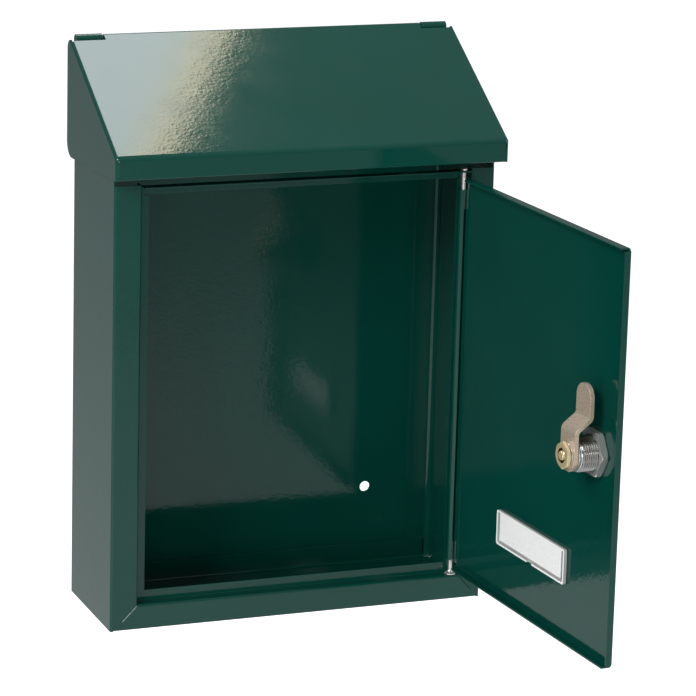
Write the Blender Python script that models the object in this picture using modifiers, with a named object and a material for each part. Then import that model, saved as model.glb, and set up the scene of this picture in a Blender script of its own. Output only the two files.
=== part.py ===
"""Wall mounted mailbox with a sloping lid over a letter slot and a lockable front door.

Sheet metal body, lid and door, with pressed-in hinge pins, a cam lock and a name plate.
All driving dimensions are in millimetres, measured from the front lower left corner of the
body: x to the right, y towards the wall, z up. The wall is the plane y = BODY_DEPTH.
"""

import math

import bmesh
import bpy
from mathutils import Matrix, Vector

NAME = "wall_mailbox"
MM = 0.001

# Body
BODY_WIDTH = 215.0
BODY_DEPTH = 78.0
SHEET = 0.8
JOINT_GAP = 0.3
REAR_BEND = 4.0
FRONT_BEND = 1.3
FLANGE_LEFT = 15.3
FLANGE_RIGHT = 13.2
FLANGE_BOTTOM = 14.0
REBATE_DEPTH = 6.8
LEDGE_WIDTH = 5.8
FLANGE_TOP_Z = 244.4
LEDGE_TOP_Z = 238.1
RAIL_TOP_Z = 243.0
SIDE_RETURN = 14.0
BOTTOM_RETURN = 12.0
MITRE_GAP = 0.5
ORIGIN_Z = 156.0

# Back plate and its two rolled hinge tabs
BACK_SHEET = 1.2
BACK_TOP_Z = 306.2
TAB_START = 0.7
TAB_END = 15.4
TAB_SHOULDER_Z = 304.6
WALL_HOLE_RADIUS = 3.0
WALL_HOLE_INSET = 40.0
WALL_HOLE_Z = (45.0, 275.0)

# Lid
LID_PIVOT_Y = BODY_DEPTH - 2.6
LID_PIVOT_Z = 309.4
LID_ROD_RADIUS = 1.32
LID_BORE = 1.4
LID_SLOPE = math.radians(30.0)
LID_FRONT = 11.6
LID_SIDE = 2.9
LID_LIP_Z = 249.5
LID_BEND = 1.2
LID_NOTCH_Y = 70.8
LID_NOTCH_X = 16.4
LID_REAR_Y = 77.6
LID_CORNER_RADIUS = 9.0
SIDE_UNDER_LID = 1.4

# Door, with its hinge edge rolled round the pins
PIVOT_X = 198.0
PIVOT_Y = 2.45
DOOR_OPEN = math.radians(94.0)
DOOR_SHEET = 1.0
DOOR_BORE = 1.25
DOOR_ROLL = DOOR_BORE + DOOR_SHEET
DOOR_LENGTH = 181.7
DOOR_BOTTOM_Z = 19.1
DOOR_TOP_Z = 239.7
ROLL_BOTTOM_Z = 22.6
ROLL_TOP_Z = 232.6
DOOR_FLANGE = 5.9
DOOR_EDGE_FLANGE = 4.2
DOOR_BEND = 1.3
DOOR_CORNER_SLIT = 0.6
PIN_RADIUS = 1.18
PIN_FOOT_RADIUS = 3.3
PIN_REACH = 11.0

# Cam lock, on an axis square to the door
LOCK_U = 157.0
LOCK_Z = 128.0
BARREL_RADIUS = 9.5
BARREL_FLATS = 18.2
BARREL_END = 12.2
HEAD_RADIUS = 11.5
HEAD_DEPTH = 2.4
PLUG_RADIUS = 6.2
LOCK_NUT_FLATS = 23.0
LOCK_NUT_DEPTH = 3.8
CAM_WIDTH = 15.0
CAM_SHEET = 2.3
CAM_REACH = 37.0
CAM_CRANK = 8.1
CAM_NUT_FLATS = 13.0
SHANK_SIDE = 7.0

# Name plate
PLATE_U = 93.0
PLATE_Z = 58.1
PLATE_LENGTH = 76.4
PLATE_HEIGHT = 19.2
PLATE_CORNER = 3.2

GREEN = (0.030, 0.110, 0.085, 1.0)
STEEL = (0.62, 0.60, 0.57, 1.0)
BRASS = (0.72, 0.56, 0.25, 1.0)
WHITE = (0.72, 0.75, 0.74, 1.0)
CLEAR = (0.80, 0.84, 0.84, 0.35)
PAPER = (0.80, 0.78, 0.70, 1.0)

for stale in list(bpy.data.objects):
    bpy.data.objects.remove(stale)

parts = bpy.data.collections.new(NAME)
bpy.context.scene.collection.children.link(parts)


def body_point(x, y, z):
    """A place on the body, in metres from a point half way up the middle of the back plate."""
    return Vector(((x - BODY_WIDTH / 2) * MM, (y - BODY_DEPTH) * MM, (z - ORIGIN_Z) * MM))


def material(name, colour, metallic, roughness):
    made = bpy.data.materials.new(name)
    made.use_nodes = True
    shader = made.node_tree.nodes["Principled BSDF"]
    shader.inputs["Base Color"].default_value = colour
    shader.inputs["Metallic"].default_value = metallic
    shader.inputs["Roughness"].default_value = roughness
    shader.inputs["Alpha"].default_value = colour[3]
    made.diffuse_color = colour
    return made


def new_object(name, mesh_builder):
    mesh = bpy.data.meshes.new(name)
    mesh_builder.normal_update()
    mesh_builder.to_mesh(mesh)
    mesh_builder.free()
    made = bpy.data.objects.new(name, mesh)
    parts.objects.link(made)
    return made


def settle(obj):
    """Replaces an object's mesh by what its modifiers make of it."""
    bpy.context.view_layer.update()
    graph = bpy.context.evaluated_depsgraph_get()
    made = bpy.data.meshes.new_from_object(obj.evaluated_get(graph))
    obj.modifiers.clear()
    obj.data = made
    return obj


def combine(obj, other, operation):
    """A Boolean of two objects. The second one is used up."""
    step = obj.modifiers.new(operation.lower(), "BOOLEAN")
    step.operation = operation
    step.solver = "EXACT"
    step.object = other
    settle(obj)
    bpy.data.objects.remove(other)
    return obj


def fuse(obj, *others):
    for other in others:
        combine(obj, other, "UNION")
    return obj


def cut(obj, *others):
    for other in others:
        combine(obj, other, "DIFFERENCE")
    return obj


def rounded(points, radii, steps=5, closed=False):
    """A path through the points, with an arc of the given radius at each one."""
    path = []
    count = len(points)
    for i, here in enumerate(points):
        here = Vector(here)
        at_end = not closed and i in (0, count - 1)
        if at_end or radii[i] == 0:
            path.append(here)
            continue
        before = (Vector(points[i - 1]) - here).normalized()
        after = (Vector(points[(i + 1) % count]) - here).normalized()
        half = before.angle(after) / 2
        middle = here + (before + after).normalized() * radii[i] / math.sin(half)
        start = here + before * radii[i] / math.tan(half) - middle
        end = here + after * radii[i] / math.tan(half) - middle
        for step in range(steps + 1):
            path.append(middle + start.slerp(end, step / steps) * radii[i])
    return path


def arc(centre, radius, first, last, steps):
    """Points on an arc, with its angles in degrees."""
    found = []
    for step in range(steps + 1):
        angle = math.radians(first + (last - first) * step / steps)
        found.append(Vector(centre) + Vector((math.cos(angle), math.sin(angle))) * radius)
    return found


def in_space(point, axis, along):
    """A flat point placed at a distance along an axis: x takes (y, z), y takes (x, z), z takes (x, y)."""
    a, b = point
    if axis == "x":
        return Vector((along, a, b))
    if axis == "y":
        return Vector((a, along, b))
    return Vector((a, b, along))


def prism(name, outline, axis, low, high, place):
    """A closed outline drawn out along an axis."""
    build = bmesh.new()
    corners = [build.verts.new(place(*in_space(point, axis, low))) for point in outline]
    face = build.faces.new(corners)
    drawn = bmesh.ops.extrude_face_region(build, geom=[face])
    offset = place(*in_space((0, 0), axis, high)) - place(*in_space((0, 0), axis, low))
    moved = [item for item in drawn["geom"] if isinstance(item, bmesh.types.BMVert)]
    bmesh.ops.translate(build, verts=moved, vec=offset)
    bmesh.ops.recalc_face_normals(build, faces=build.faces)
    return new_object(name, build)


def folded(name, path, axis, low, high, thickness, place):
    """Sheet of even thickness that follows a path and runs along an axis."""
    build = bmesh.new()
    corners = [build.verts.new(place(*in_space(point, axis, low))) for point in path]
    for first, second in zip(corners, corners[1:]):
        build.edges.new((first, second))
    drawn = bmesh.ops.extrude_edge_only(build, edges=build.edges[:])
    offset = place(*in_space((0, 0), axis, high)) - place(*in_space((0, 0), axis, low))
    moved = [item for item in drawn["geom"] if isinstance(item, bmesh.types.BMVert)]
    bmesh.ops.translate(build, verts=moved, vec=offset)
    bmesh.ops.recalc_face_normals(build, faces=build.faces)
    made = new_object(name, build)
    step = made.modifiers.new("sheet", "SOLIDIFY")
    step.thickness = thickness * MM
    step.offset = 0
    step.use_even_offset = True
    return settle(made)


def box(name, low, high, place):
    outline = [(low[0], low[1]), (high[0], low[1]), (high[0], high[1]), (low[0], high[1])]
    return prism(name, outline, "z", low[2], high[2], place)


def circle(centre, radius, steps):
    return arc(centre, radius, 0, 360 * (steps - 1) / steps, steps - 1)


def hexagon(centre, flats, turn):
    radius = flats / 2 / math.cos(math.pi / 6)
    return arc(centre, radius, turn, turn + 300, 5)


def rounded_box(centre, length, height, radius, steps=4):
    x, z = centre
    a, b = length / 2, height / 2
    corners = [(x - a, z - b), (x + a, z - b), (x + a, z + b), (x - a, z + b)]
    return rounded(corners, [radius] * 4, steps, closed=True)


def turned(name, profile, place, steps=32):
    """A solid of revolution about the vertical through (0, 0), from (radius, height) points."""
    build = bmesh.new()
    corners = [build.verts.new(Vector((r * MM, 0, z * MM))) for r, z in profile]
    for first, second in zip(corners, corners[1:]):
        build.edges.new((first, second))
    bmesh.ops.spin(
        build,
        geom=build.verts[:] + build.edges[:],
        axis=(0, 0, 1),
        cent=(0, 0, 0),
        angle=math.tau,
        steps=steps,
        use_merge=True,
    )
    bmesh.ops.remove_doubles(build, verts=build.verts[:], dist=0.0000005)
    bmesh.ops.transform(build, matrix=place, verts=build.verts[:])
    bmesh.ops.recalc_face_normals(build, faces=build.faces)
    return new_object(name, build)


def finish(obj, look, name=None, smooth=()):
    """Gives a piece its name and material, and shades its curved faces smooth."""
    if name:
        obj.name = name
    obj.data.name = obj.name
    obj.data.materials.clear()
    obj.data.materials.append(look)
    clean = bmesh.new()
    clean.from_mesh(obj.data)
    bmesh.ops.remove_doubles(clean, verts=clean.verts[:], dist=0.0000005)
    bmesh.ops.dissolve_limit(
        clean, angle_limit=math.radians(0.2), verts=clean.verts[:], edges=clean.edges[:]
    )
    clean.to_mesh(obj.data)
    clean.free()
    obj.data.shade_smooth()
    step = obj.modifiers.new("edges", "EDGE_SPLIT")
    step.split_angle = math.radians(32)
    settle(obj)
    joined = bmesh.new()
    joined.from_mesh(obj.data)
    for edge in joined.edges:
        edge.smooth = len(edge.link_faces) == 2
    bmesh.ops.remove_doubles(joined, verts=joined.verts[:], dist=0.0000005)
    joined.to_mesh(obj.data)
    joined.free()
    return obj


def carry(obj, parent):
    """Hands an object built in its parent's own frame over to that parent."""
    obj.parent = parent
    return obj


def paint(name, metallic=0.0, roughness=0.3, colour=GREEN):
    return material(name, colour, metallic, roughness)


# ---------------------------------------------------------------- body

half_sheet = SHEET / 2
ledge_y = REBATE_DEPTH + half_sheet
return_y = BODY_DEPTH - BACK_SHEET - JOINT_GAP - half_sheet


def lid_top(y):
    """Height of the lid's outer face above a point of the body."""
    rise = (LID_BORE + SHEET) / math.cos(LID_SLOPE)
    return LID_PIVOT_Z + rise + (y - LID_PIVOT_Y) * math.tan(LID_SLOPE)


def side_panel(name, flange, mirror):
    """A side of the body, with the door frame's flange, rebate and ledge folded on its front edge."""

    def place(x, y, z):
        return body_point(BODY_WIDTH - x if mirror else x, y, z)

    step_x = flange - half_sheet
    corners = [
        (SIDE_RETURN, return_y),
        (half_sheet, return_y),
        (half_sheet, half_sheet),
        (step_x, half_sheet),
        (step_x, ledge_y),
        (flange + LEDGE_WIDTH, ledge_y),
    ]
    bends = [0, REAR_BEND - half_sheet, FRONT_BEND - half_sheet]
    bends += [FRONT_BEND - half_sheet, 0.6, 0]
    panel = folded(name, rounded(corners, bends), "z", 0, LID_PIVOT_Z, SHEET, place)
    # The top edge runs just under the lid, from the letter slot up to the back.
    slot_y = REBATE_DEPTH + 1.6
    under = SHEET / math.cos(LID_SLOPE) + SIDE_UNDER_LID
    rear_y = BODY_DEPTH - 8.0
    top = [
        (-5, FLANGE_TOP_Z),
        (slot_y, FLANGE_TOP_Z),
        (slot_y, lid_top(slot_y) - under),
        (rear_y, lid_top(rear_y) - under),
        (rear_y, TAB_SHOULDER_Z - 2 * JOINT_GAP),
        (BODY_DEPTH + 5, TAB_SHOULDER_Z - 2 * JOINT_GAP),
        (BODY_DEPTH + 5, 330),
        (-5, 330),
    ]
    cut(panel, prism("top", top, "x", -5, 30, place))
    ledge_end = box(
        "ledge_end",
        (flange + 0.05, 3.0, LEDGE_TOP_Z - JOINT_GAP),
        (flange + 20, 9.0, FLANGE_TOP_Z + 5),
        place,
    )
    cut(panel, ledge_end)
    # Mitre against the bottom's flange and ledge, with a small relief notch at the step.
    inner = (flange + LEDGE_WIDTH + 3, FLANGE_BOTTOM + LEDGE_WIDTH + 3)
    mitre = [
        (SHEET + 0.7, -3),
        (SHEET + 0.7, 0),
        (flange - MITRE_GAP / 2, FLANGE_BOTTOM + MITRE_GAP / 2),
        (inner[0], inner[1] + MITRE_GAP / 2),
        (inner[0] + 9, inner[1]),
        (inner[0] + 9, -3),
    ]
    cut(panel, prism("mitre", mitre, "y", -3, 9, place))
    return panel


for side, width, mirrored in (("left", FLANGE_LEFT, False), ("right", FLANGE_RIGHT, True)):
    panel = side_panel(f"side_panel_{side}", width, mirrored)
    finish(panel, paint(f"side_panel_{side}"))

bottom_corners = [
    (return_y - SHEET - JOINT_GAP, BOTTOM_RETURN),
    (return_y - SHEET - JOINT_GAP, half_sheet),
    (half_sheet, half_sheet),
    (half_sheet, FLANGE_BOTTOM - half_sheet),
    (ledge_y, FLANGE_BOTTOM - half_sheet),
    (ledge_y, FLANGE_BOTTOM + LEDGE_WIDTH),
]
bottom_bends = [0, 1.6, FRONT_BEND - half_sheet, FRONT_BEND - half_sheet, 0.6, 0]
bottom = folded(
    "bottom_panel",
    rounded(bottom_corners, bottom_bends),
    "x",
    SHEET + JOINT_GAP,
    BODY_WIDTH - SHEET - JOINT_GAP,
    SHEET,
    body_point,
)


def bottom_mitre(flange, mirror):
    def place(x, y, z):
        return body_point(BODY_WIDTH - x if mirror else x, y, z)

    inner = (flange + LEDGE_WIDTH + 3, FLANGE_BOTTOM + LEDGE_WIDTH + 3)
    outline = [
        (SHEET + 0.7 + MITRE_GAP, 0.0),
        (flange + MITRE_GAP / 2, FLANGE_BOTTOM - MITRE_GAP / 2),
        (inner[0] + MITRE_GAP, inner[1]),
        (inner[0] - 30, inner[1] + 5),
        (-4, inner[1]),
        (-4, 0.0),
    ]
    return prism("bottom_mitre", outline, "y", -3, 9, place)


def rear_corner(mirror):
    """The bottom's rear corner, cut off to clear the bend in the side panel."""

    def place(x, y, z):
        return body_point(BODY_WIDTH - x if mirror else x, y, z)

    outline = [(-2, return_y - 8.3), (5.4, return_y - 0.3), (5.4, return_y + 3), (-2, return_y + 3)]
    return prism("rear_corner", outline, "z", -3, 30, place)


cut(bottom, bottom_mitre(FLANGE_LEFT, False), bottom_mitre(FLANGE_RIGHT, True))
cut(bottom, rear_corner(False), rear_corner(True))
finish(bottom, paint("bottom_panel"))

rail = folded(
    "top_rail",
    rounded(
        [(0.0, RAIL_TOP_Z - half_sheet), (ledge_y, RAIL_TOP_Z - half_sheet), (ledge_y, LEDGE_TOP_Z)],
        [0, 0.8, 0],
    ),
    "x",
    FLANGE_LEFT + JOINT_GAP,
    BODY_WIDTH - FLANGE_RIGHT - JOINT_GAP,
    SHEET,
    body_point,
)
pin_hole = circle((PIVOT_X, PIVOT_Y), PIN_RADIUS + JOINT_GAP, 24)
cut(rail, prism("pin_hole", pin_hole, "z", RAIL_TOP_Z - 3, RAIL_TOP_Z + 3, body_point))
finish(rail, paint("top_rail"))


def back_panel():
    """The flat back plate, with a rolled hinge tab at each upper corner and four holes for wall screws."""
    low_y = BODY_DEPTH - BACK_SHEET
    inset = REAR_BEND + JOINT_GAP
    plate = box(
        "back_panel",
        (inset, low_y, JOINT_GAP),
        (BODY_WIDTH - inset, BODY_DEPTH, BACK_TOP_Z),
        body_point,
    )
    middle = LID_BORE + BACK_SHEET / 2
    for start in (TAB_START, BODY_WIDTH - TAB_END):
        end = start + TAB_END - TAB_START
        path = [Vector((LID_PIVOT_Y + middle, TAB_SHOULDER_Z))]
        path += arc((LID_PIVOT_Y, LID_PIVOT_Z), middle, 0, 282, 22)
        tab = folded("tab", path, "x", start, end, BACK_SHEET, body_point)
        fuse(plate, tab)
    holes = [(x, z) for x in (WALL_HOLE_INSET, BODY_WIDTH - WALL_HOLE_INSET) for z in WALL_HOLE_Z]
    for centre in holes:
        outline = circle(centre, WALL_HOLE_RADIUS, 28)
        hole = prism("hole", outline, "y", low_y - 2, BODY_DEPTH + 2, body_point)
        cut(plate, hole)
    return plate


finish(back_panel(), paint("back_panel"))

# ---------------------------------------------------------------- lid

lid_axis = bpy.data.objects.new("lid_axis", None)
parts.objects.link(lid_axis)
lid_axis.location = body_point(BODY_WIDTH / 2, LID_PIVOT_Y, LID_PIVOT_Z)


def lid_point(x, y, z):
    """A place on the lid, measured from its hinge axis, in metres."""
    return Vector(((x - BODY_WIDTH / 2) * MM, (y - LID_PIVOT_Y) * MM, (z - LID_PIVOT_Z) * MM))


def lid_cover():
    """The lid: a front lip, a slope rolled round the hinge rod, and a cheek on each side."""
    roll = LID_BORE + half_sheet
    normal = Vector((-math.sin(LID_SLOPE), math.cos(LID_SLOPE)))
    pivot = Vector((LID_PIVOT_Y, LID_PIVOT_Z))
    front_y = -LID_FRONT + half_sheet
    touch = pivot + normal * roll
    fold = (front_y, touch.y + (front_y - touch.x) * math.tan(LID_SLOPE))
    first_angle = math.degrees(LID_SLOPE) + 90
    wrap = arc(pivot, roll, first_angle, first_angle - 262, 22)
    front = rounded([(front_y, LID_LIP_Z), fold, touch], [0, LID_BEND - half_sheet, 0])
    low_x = -LID_SIDE + half_sheet
    high_x = BODY_WIDTH + LID_SIDE - half_sheet
    cover = folded("lid_cover", front[:-1] + wrap, "x", low_x, high_x, SHEET, lid_point)
    for mirror in (False, True):

        def place(x, y, z, mirror=mirror):
            return lid_point(BODY_WIDTH - x if mirror else x, y, z)

        notch = box("notch", (-20, LID_NOTCH_Y, 290), (LID_NOTCH_X, 90, 330), place)
        cut(cover, notch)
    corner_y = LID_REAR_Y
    outline = rounded(
        [
            (-LID_FRONT, LID_LIP_Z),
            (corner_y, LID_LIP_Z),
            (corner_y, lid_top(corner_y)),
            (-LID_FRONT, lid_top(-LID_FRONT)),
        ],
        [0.6, 2.0, LID_CORNER_RADIUS, LID_BEND],
        6,
        closed=True,
    )
    for start in (-LID_SIDE, BODY_WIDTH + LID_SIDE - SHEET):
        fuse(cover, prism("cheek", outline, "x", start, start + SHEET, lid_point))
    return cover


cover = carry(lid_cover(), lid_axis)
finish(cover, paint("lid_cover", roughness=0.25))

rod = prism(
    "lid_hinge_rod",
    circle((LID_PIVOT_Y, LID_PIVOT_Z), LID_ROD_RADIUS, 20),
    "x",
    TAB_START - 0.4,
    BODY_WIDTH - TAB_START + 0.4,
    body_point,
)
finish(rod, material("lid_hinge_rod", STEEL, 1.0, 0.3))

# ---------------------------------------------------------------- door

door_axis = bpy.data.objects.new("door_axis", None)
parts.objects.link(door_axis)
door_axis.location = body_point(PIVOT_X, PIVOT_Y, 0)
door_axis.rotation_euler = (0, 0, DOOR_OPEN)

face_out = -DOOR_ROLL
face_in = -DOOR_BORE
face_mid = (face_out + face_in) / 2


def door_point(u, v, z):
    """A place on the door: u from the hinge axis to the free edge, v inwards, z up."""
    return Vector((-u * MM, v * MM, z * MM))


def door_panel():
    """The door: a shallow pan with open corners, its hinge edge rolled into a knuckle."""
    edge = DOOR_BEND + 1.0
    plate = box(
        "door_panel",
        (2.6, face_out, DOOR_BOTTOM_Z + edge),
        (DOOR_LENGTH - edge, face_in, DOOR_TOP_Z - edge),
        door_point,
    )
    roll = [Vector((8.0, face_mid))] + arc((0, 0), DOOR_BORE + DOOR_SHEET / 2, 270, 8, 24)
    knuckle = folded("knuckle", roll, "z", ROLL_BOTTOM_Z, ROLL_TOP_Z, DOOR_SHEET, door_point)
    fuse(plate, knuckle)
    bend = DOOR_BEND - DOOR_SHEET / 2
    near = 4.4
    for z_edge, sign in ((DOOR_TOP_Z, 1), (DOOR_BOTTOM_Z, -1)):
        z_mid = z_edge - sign * DOOR_SHEET / 2
        corners = [
            (face_mid, z_mid - sign * 6),
            (face_mid, z_mid),
            (face_out + DOOR_FLANGE, z_mid),
        ]
        path = rounded(corners, [0, bend, 0])
        far = DOOR_LENGTH - DOOR_SHEET - DOOR_CORNER_SLIT
        strip = folded("strip", path, "x", near, far, DOOR_SHEET, door_point)
        # The flange's hinge end slants away from the knuckle.
        slant = [
            (near - 3, face_in + 0.4),
            (near + 0.6, face_in + 0.4),
            (near + 4.6, face_out + DOOR_FLANGE + 1),
            (near - 3, face_out + DOOR_FLANGE + 1),
        ]
        low = z_edge - 3 if sign > 0 else z_edge - 1
        cut(strip, prism("slant", slant, "z", low, low + 4, door_point))
        fuse(plate, strip)
    corners = [
        (DOOR_LENGTH - 6, face_mid),
        (DOOR_LENGTH - DOOR_SHEET / 2, face_mid),
        (DOOR_LENGTH - DOOR_SHEET / 2, face_out + DOOR_EDGE_FLANGE),
    ]
    slit = DOOR_SHEET + DOOR_CORNER_SLIT
    edge_strip = folded(
        "edge_strip",
        rounded(corners, [0, bend, 0]),
        "z",
        DOOR_BOTTOM_Z + slit,
        DOOR_TOP_Z - slit,
        DOOR_SHEET,
        door_point,
    )
    fuse(plate, edge_strip)
    hole = prism("hole", circle((LOCK_U, LOCK_Z), BARREL_RADIUS + 0.3, 40), "y", -8, 8, door_point)
    window = prism(
        "window", rounded_box((PLATE_U, PLATE_Z), 70, 13.5, 1.5), "y", -8, 8, door_point
    )
    return cut(plate, hole, window)


door = carry(door_panel(), door_axis)
finish(door, paint("door_panel", roughness=0.25))


def hinge_pin(name, head, head_z, tip_z):
    """A pin that runs into the end of the knuckle, from a head given as (radius, height) points."""
    way = 1 if tip_z > head_z else -1
    profile = [(0, head_z)] + [(r, head_z + way * h) for r, h in head]
    profile += [(PIN_RADIUS, tip_z - way * 0.4), (PIN_RADIUS - 0.4, tip_z), (0, tip_z)]
    place = Matrix.Translation(body_point(PIVOT_X, PIVOT_Y, 0))
    pin = turned(name, profile, place, 24)
    return finish(pin, material(name, STEEL, 1.0, 0.28))


# The lower pin stands on a flared foot. The upper one hangs through the rail from a small head.
foot = [(PIN_FOOT_RADIUS, 0.0), (PIN_FOOT_RADIUS, 0.6), (2.2, 1.0), (1.6, 1.7), (PIN_RADIUS, 2.8)]
hinge_pin("hinge_pin_lower", foot, FLANGE_BOTTOM + JOINT_GAP, ROLL_BOTTOM_Z + PIN_REACH)
head = [(1.3, 0.0), (1.7, 0.4), (1.7, 1.1), (PIN_RADIUS, 1.1)]
hinge_pin("hinge_pin_upper", head, RAIL_TOP_Z + JOINT_GAP + 1.1, ROLL_TOP_Z - PIN_REACH)

# ---------------------------------------------------------------- lock

lock_axis = bpy.data.objects.new("lock_axis", None)
parts.objects.link(lock_axis)
lock_axis.parent = door_axis
lock_axis.location = door_point(LOCK_U, 0, LOCK_Z)

# Solids of revolution are drawn upright, then laid over so that up becomes inwards.
lay_over = Matrix.Rotation(math.radians(-90), 4, "X")


def lock_point(u, v, z):
    """A place on the lock: u towards the free edge, v inwards, z up, from the lock's axis."""
    return Vector((-u * MM, v * MM, z * MM))


def lock_piece(obj, look):
    carry(obj, lock_axis)
    return finish(obj, look)


head_back = face_out - JOINT_GAP
head_front = head_back - HEAD_DEPTH
housing_profile = [
    (PLUG_RADIUS + 0.07, head_front),
    (HEAD_RADIUS - 1.4, head_front),
    (HEAD_RADIUS - 0.4, head_front + 0.5),
    (HEAD_RADIUS, head_front + 1.4),
    (HEAD_RADIUS, head_back),
    (BARREL_RADIUS, head_back),
    (BARREL_RADIUS, BARREL_END - 0.5),
    (BARREL_RADIUS - 0.5, BARREL_END),
    (PLUG_RADIUS + 0.07, BARREL_END),
    (PLUG_RADIUS + 0.07, head_front),
]
housing = turned("lock_housing", housing_profile, lay_over, 40)
for side in (-1, 1):
    low_u = BARREL_FLATS / 2 if side > 0 else -BARREL_RADIUS - 2
    flat = box(
        "flat",
        (low_u, face_in + 0.4, -8),
        (low_u + BARREL_RADIUS + 2 - BARREL_FLATS / 2, BARREL_END + 1, 8),
        lock_point,
    )
    cut(housing, flat)
lock_piece(housing, material("lock_housing", STEEL, 1.0, 0.3))

washer_start = BARREL_END + JOINT_GAP
washer_end = washer_start + 0.9
cam_start = washer_end + JOINT_GAP
cam_end = cam_start + CAM_SHEET
star_start = cam_end + JOINT_GAP
star_end = star_start + 0.5
nut_start = star_end + JOINT_GAP
nut_end = nut_start + 2.8
plug_profile = [
    (0, head_front + 0.3),
    (PLUG_RADIUS - 0.4, head_front + 0.3),
    (PLUG_RADIUS, head_front + 0.7),
    (PLUG_RADIUS, BARREL_END - 0.2),
    (0, BARREL_END - 0.2),
]
plug = turned("lock_plug", plug_profile, lay_over, 32)
half_side = SHANK_SIDE / 2
shank = box(
    "shank",
    (-half_side, BARREL_END - 2, -half_side),
    (half_side, star_start - 0.15, half_side),
    lock_point,
)
stud = turned(
    "stud",
    [(0, cam_start), (2.6, cam_start), (2.6, nut_end - 0.4), (2.2, nut_end), (0, nut_end)],
    lay_over,
    20,
)
key_slot = box("key_slot", (-0.8, head_front - 1, -3.6), (0.8, head_front + 9, 3.6), lock_point)
fuse(plug, shank, stud)
cut(plug, key_slot)
lock_piece(plug, material("lock_plug", STEEL, 1.0, 0.35))


def ring(name, outline, hole, low, high):
    made = prism(name, outline, "y", low, high, lock_point)
    return cut(made, prism("hole", hole, "y", low - 1, high + 1, lock_point))


def square(side):
    a = side / 2
    return [(-a, -a), (a, -a), (a, a), (-a, a)]


lock_nut = ring(
    "lock_nut",
    hexagon((0, 0), LOCK_NUT_FLATS, 0),
    circle((0, 0), BARREL_RADIUS + 0.3, 40),
    face_in + JOINT_GAP,
    face_in + JOINT_GAP + LOCK_NUT_DEPTH,
)
lock_piece(lock_nut, material("lock_nut", STEEL, 1.0, 0.3))

stop_washer = ring(
    "cam_stop_washer",
    circle((0, 0), 8.4, 32),
    square(SHANK_SIDE + 0.6),
    washer_start,
    washer_end,
)
lock_piece(stop_washer, material("cam_stop_washer", STEEL, 1.0, 0.3))

cam_mid = (cam_start + cam_end) / 2
cam_path = rounded(
    [(cam_mid, -8.5), (cam_mid, 13.5), (cam_mid - CAM_CRANK, 19.5), (cam_mid - CAM_CRANK, CAM_REACH)],
    [0, 3.2, 3.2, 0],
    6,
)
cam = folded("lock_cam", cam_path, "x", -CAM_WIDTH / 2, CAM_WIDTH / 2, CAM_SHEET, lock_point)
half_cam = CAM_WIDTH / 2
cam_outline = rounded(
    [(-half_cam, -8.5), (half_cam, -8.5), (half_cam, CAM_REACH), (-half_cam, CAM_REACH)],
    [6.5, 6.5, 7.2, 7.2],
    8,
    closed=True,
)
combine(cam, prism("blank", cam_outline, "y", -10, 30, lock_point), "INTERSECT")
cut(cam, prism("hole", square(SHANK_SIDE + 0.6), "y", cam_start - 1, cam_end + 1, lock_point))
lock_piece(cam, material("lock_cam", (0.60, 0.56, 0.52, 1.0), 1.0, 0.32))

star_washer = ring(
    "cam_star_washer",
    circle((0, 0), 6.8, 32),
    circle((0, 0), 2.9, 20),
    star_start,
    star_end,
)
lock_piece(star_washer, material("cam_star_washer", STEEL, 1.0, 0.35))

cam_nut = ring(
    "cam_nut",
    hexagon((0, 0), CAM_NUT_FLATS, 30),
    circle((0, 0), 2.9, 20),
    nut_start,
    nut_end - 0.6,
)
lock_piece(cam_nut, material("cam_nut", BRASS, 1.0, 0.25))

# ---------------------------------------------------------------- name plate


def plate_prism(name, length, height, radius, low, high):
    outline = rounded_box((PLATE_U, PLATE_Z), length, height, radius)
    return prism(name, outline, "y", low, high, door_point)


frame = plate_prism("nameplate_frame", 80, 22, 3, face_out - 1.8, face_out - JOINT_GAP)
cut(frame, plate_prism("opening", 64, 10.5, 1, face_out - 4, face_out + 1))
carry(frame, door_axis)
finish(frame, material("nameplate_frame", WHITE, 0.0, 0.35))

window = plate_prism("nameplate_window", 69.4, 12.9, 1.2, face_out, face_out + 0.4)
carry(window, door_axis)
finish(window, material("nameplate_window", CLEAR, 0.0, 0.08))

card = plate_prism("name_card", 69.0, 12.5, 0.8, face_out + 0.7, face_out + 0.95)
carry(card, door_axis)
finish(card, material("name_card", PAPER, 0.0, 0.8))

holder_back = face_in + JOINT_GAP
holder = plate_prism(
    "nameplate_holder", PLATE_LENGTH, PLATE_HEIGHT, PLATE_CORNER, holder_back, holder_back + 1.8
)
cut(
    holder,
    plate_prism("tray", PLATE_LENGTH - 3.2, PLATE_HEIGHT - 3.2, 2.0, holder_back + 0.9, holder_back + 3),
    box(
        "tab_notch",
        (PLATE_U - 3.5, holder_back + 0.4, PLATE_Z - PLATE_HEIGHT / 2 - 1),
        (PLATE_U + 3.5, holder_back + 3, PLATE_Z - PLATE_HEIGHT / 2 + 2.4),
        door_point,
    ),
)
carry(holder, door_axis)
finish(holder, material("nameplate_holder", WHITE, 0.0, 0.3))

bpy.context.view_layer.update()
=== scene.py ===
"""Looks for the wall mounted mailbox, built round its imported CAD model.

Lengths are in millimetres from the front lower left corner of the body (x right, y towards the
wall, z up) and are turned into metres of the model's own frame as each mesh is made.
"""

import math

import bmesh
import bpy
from mathutils import Matrix, Vector


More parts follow.
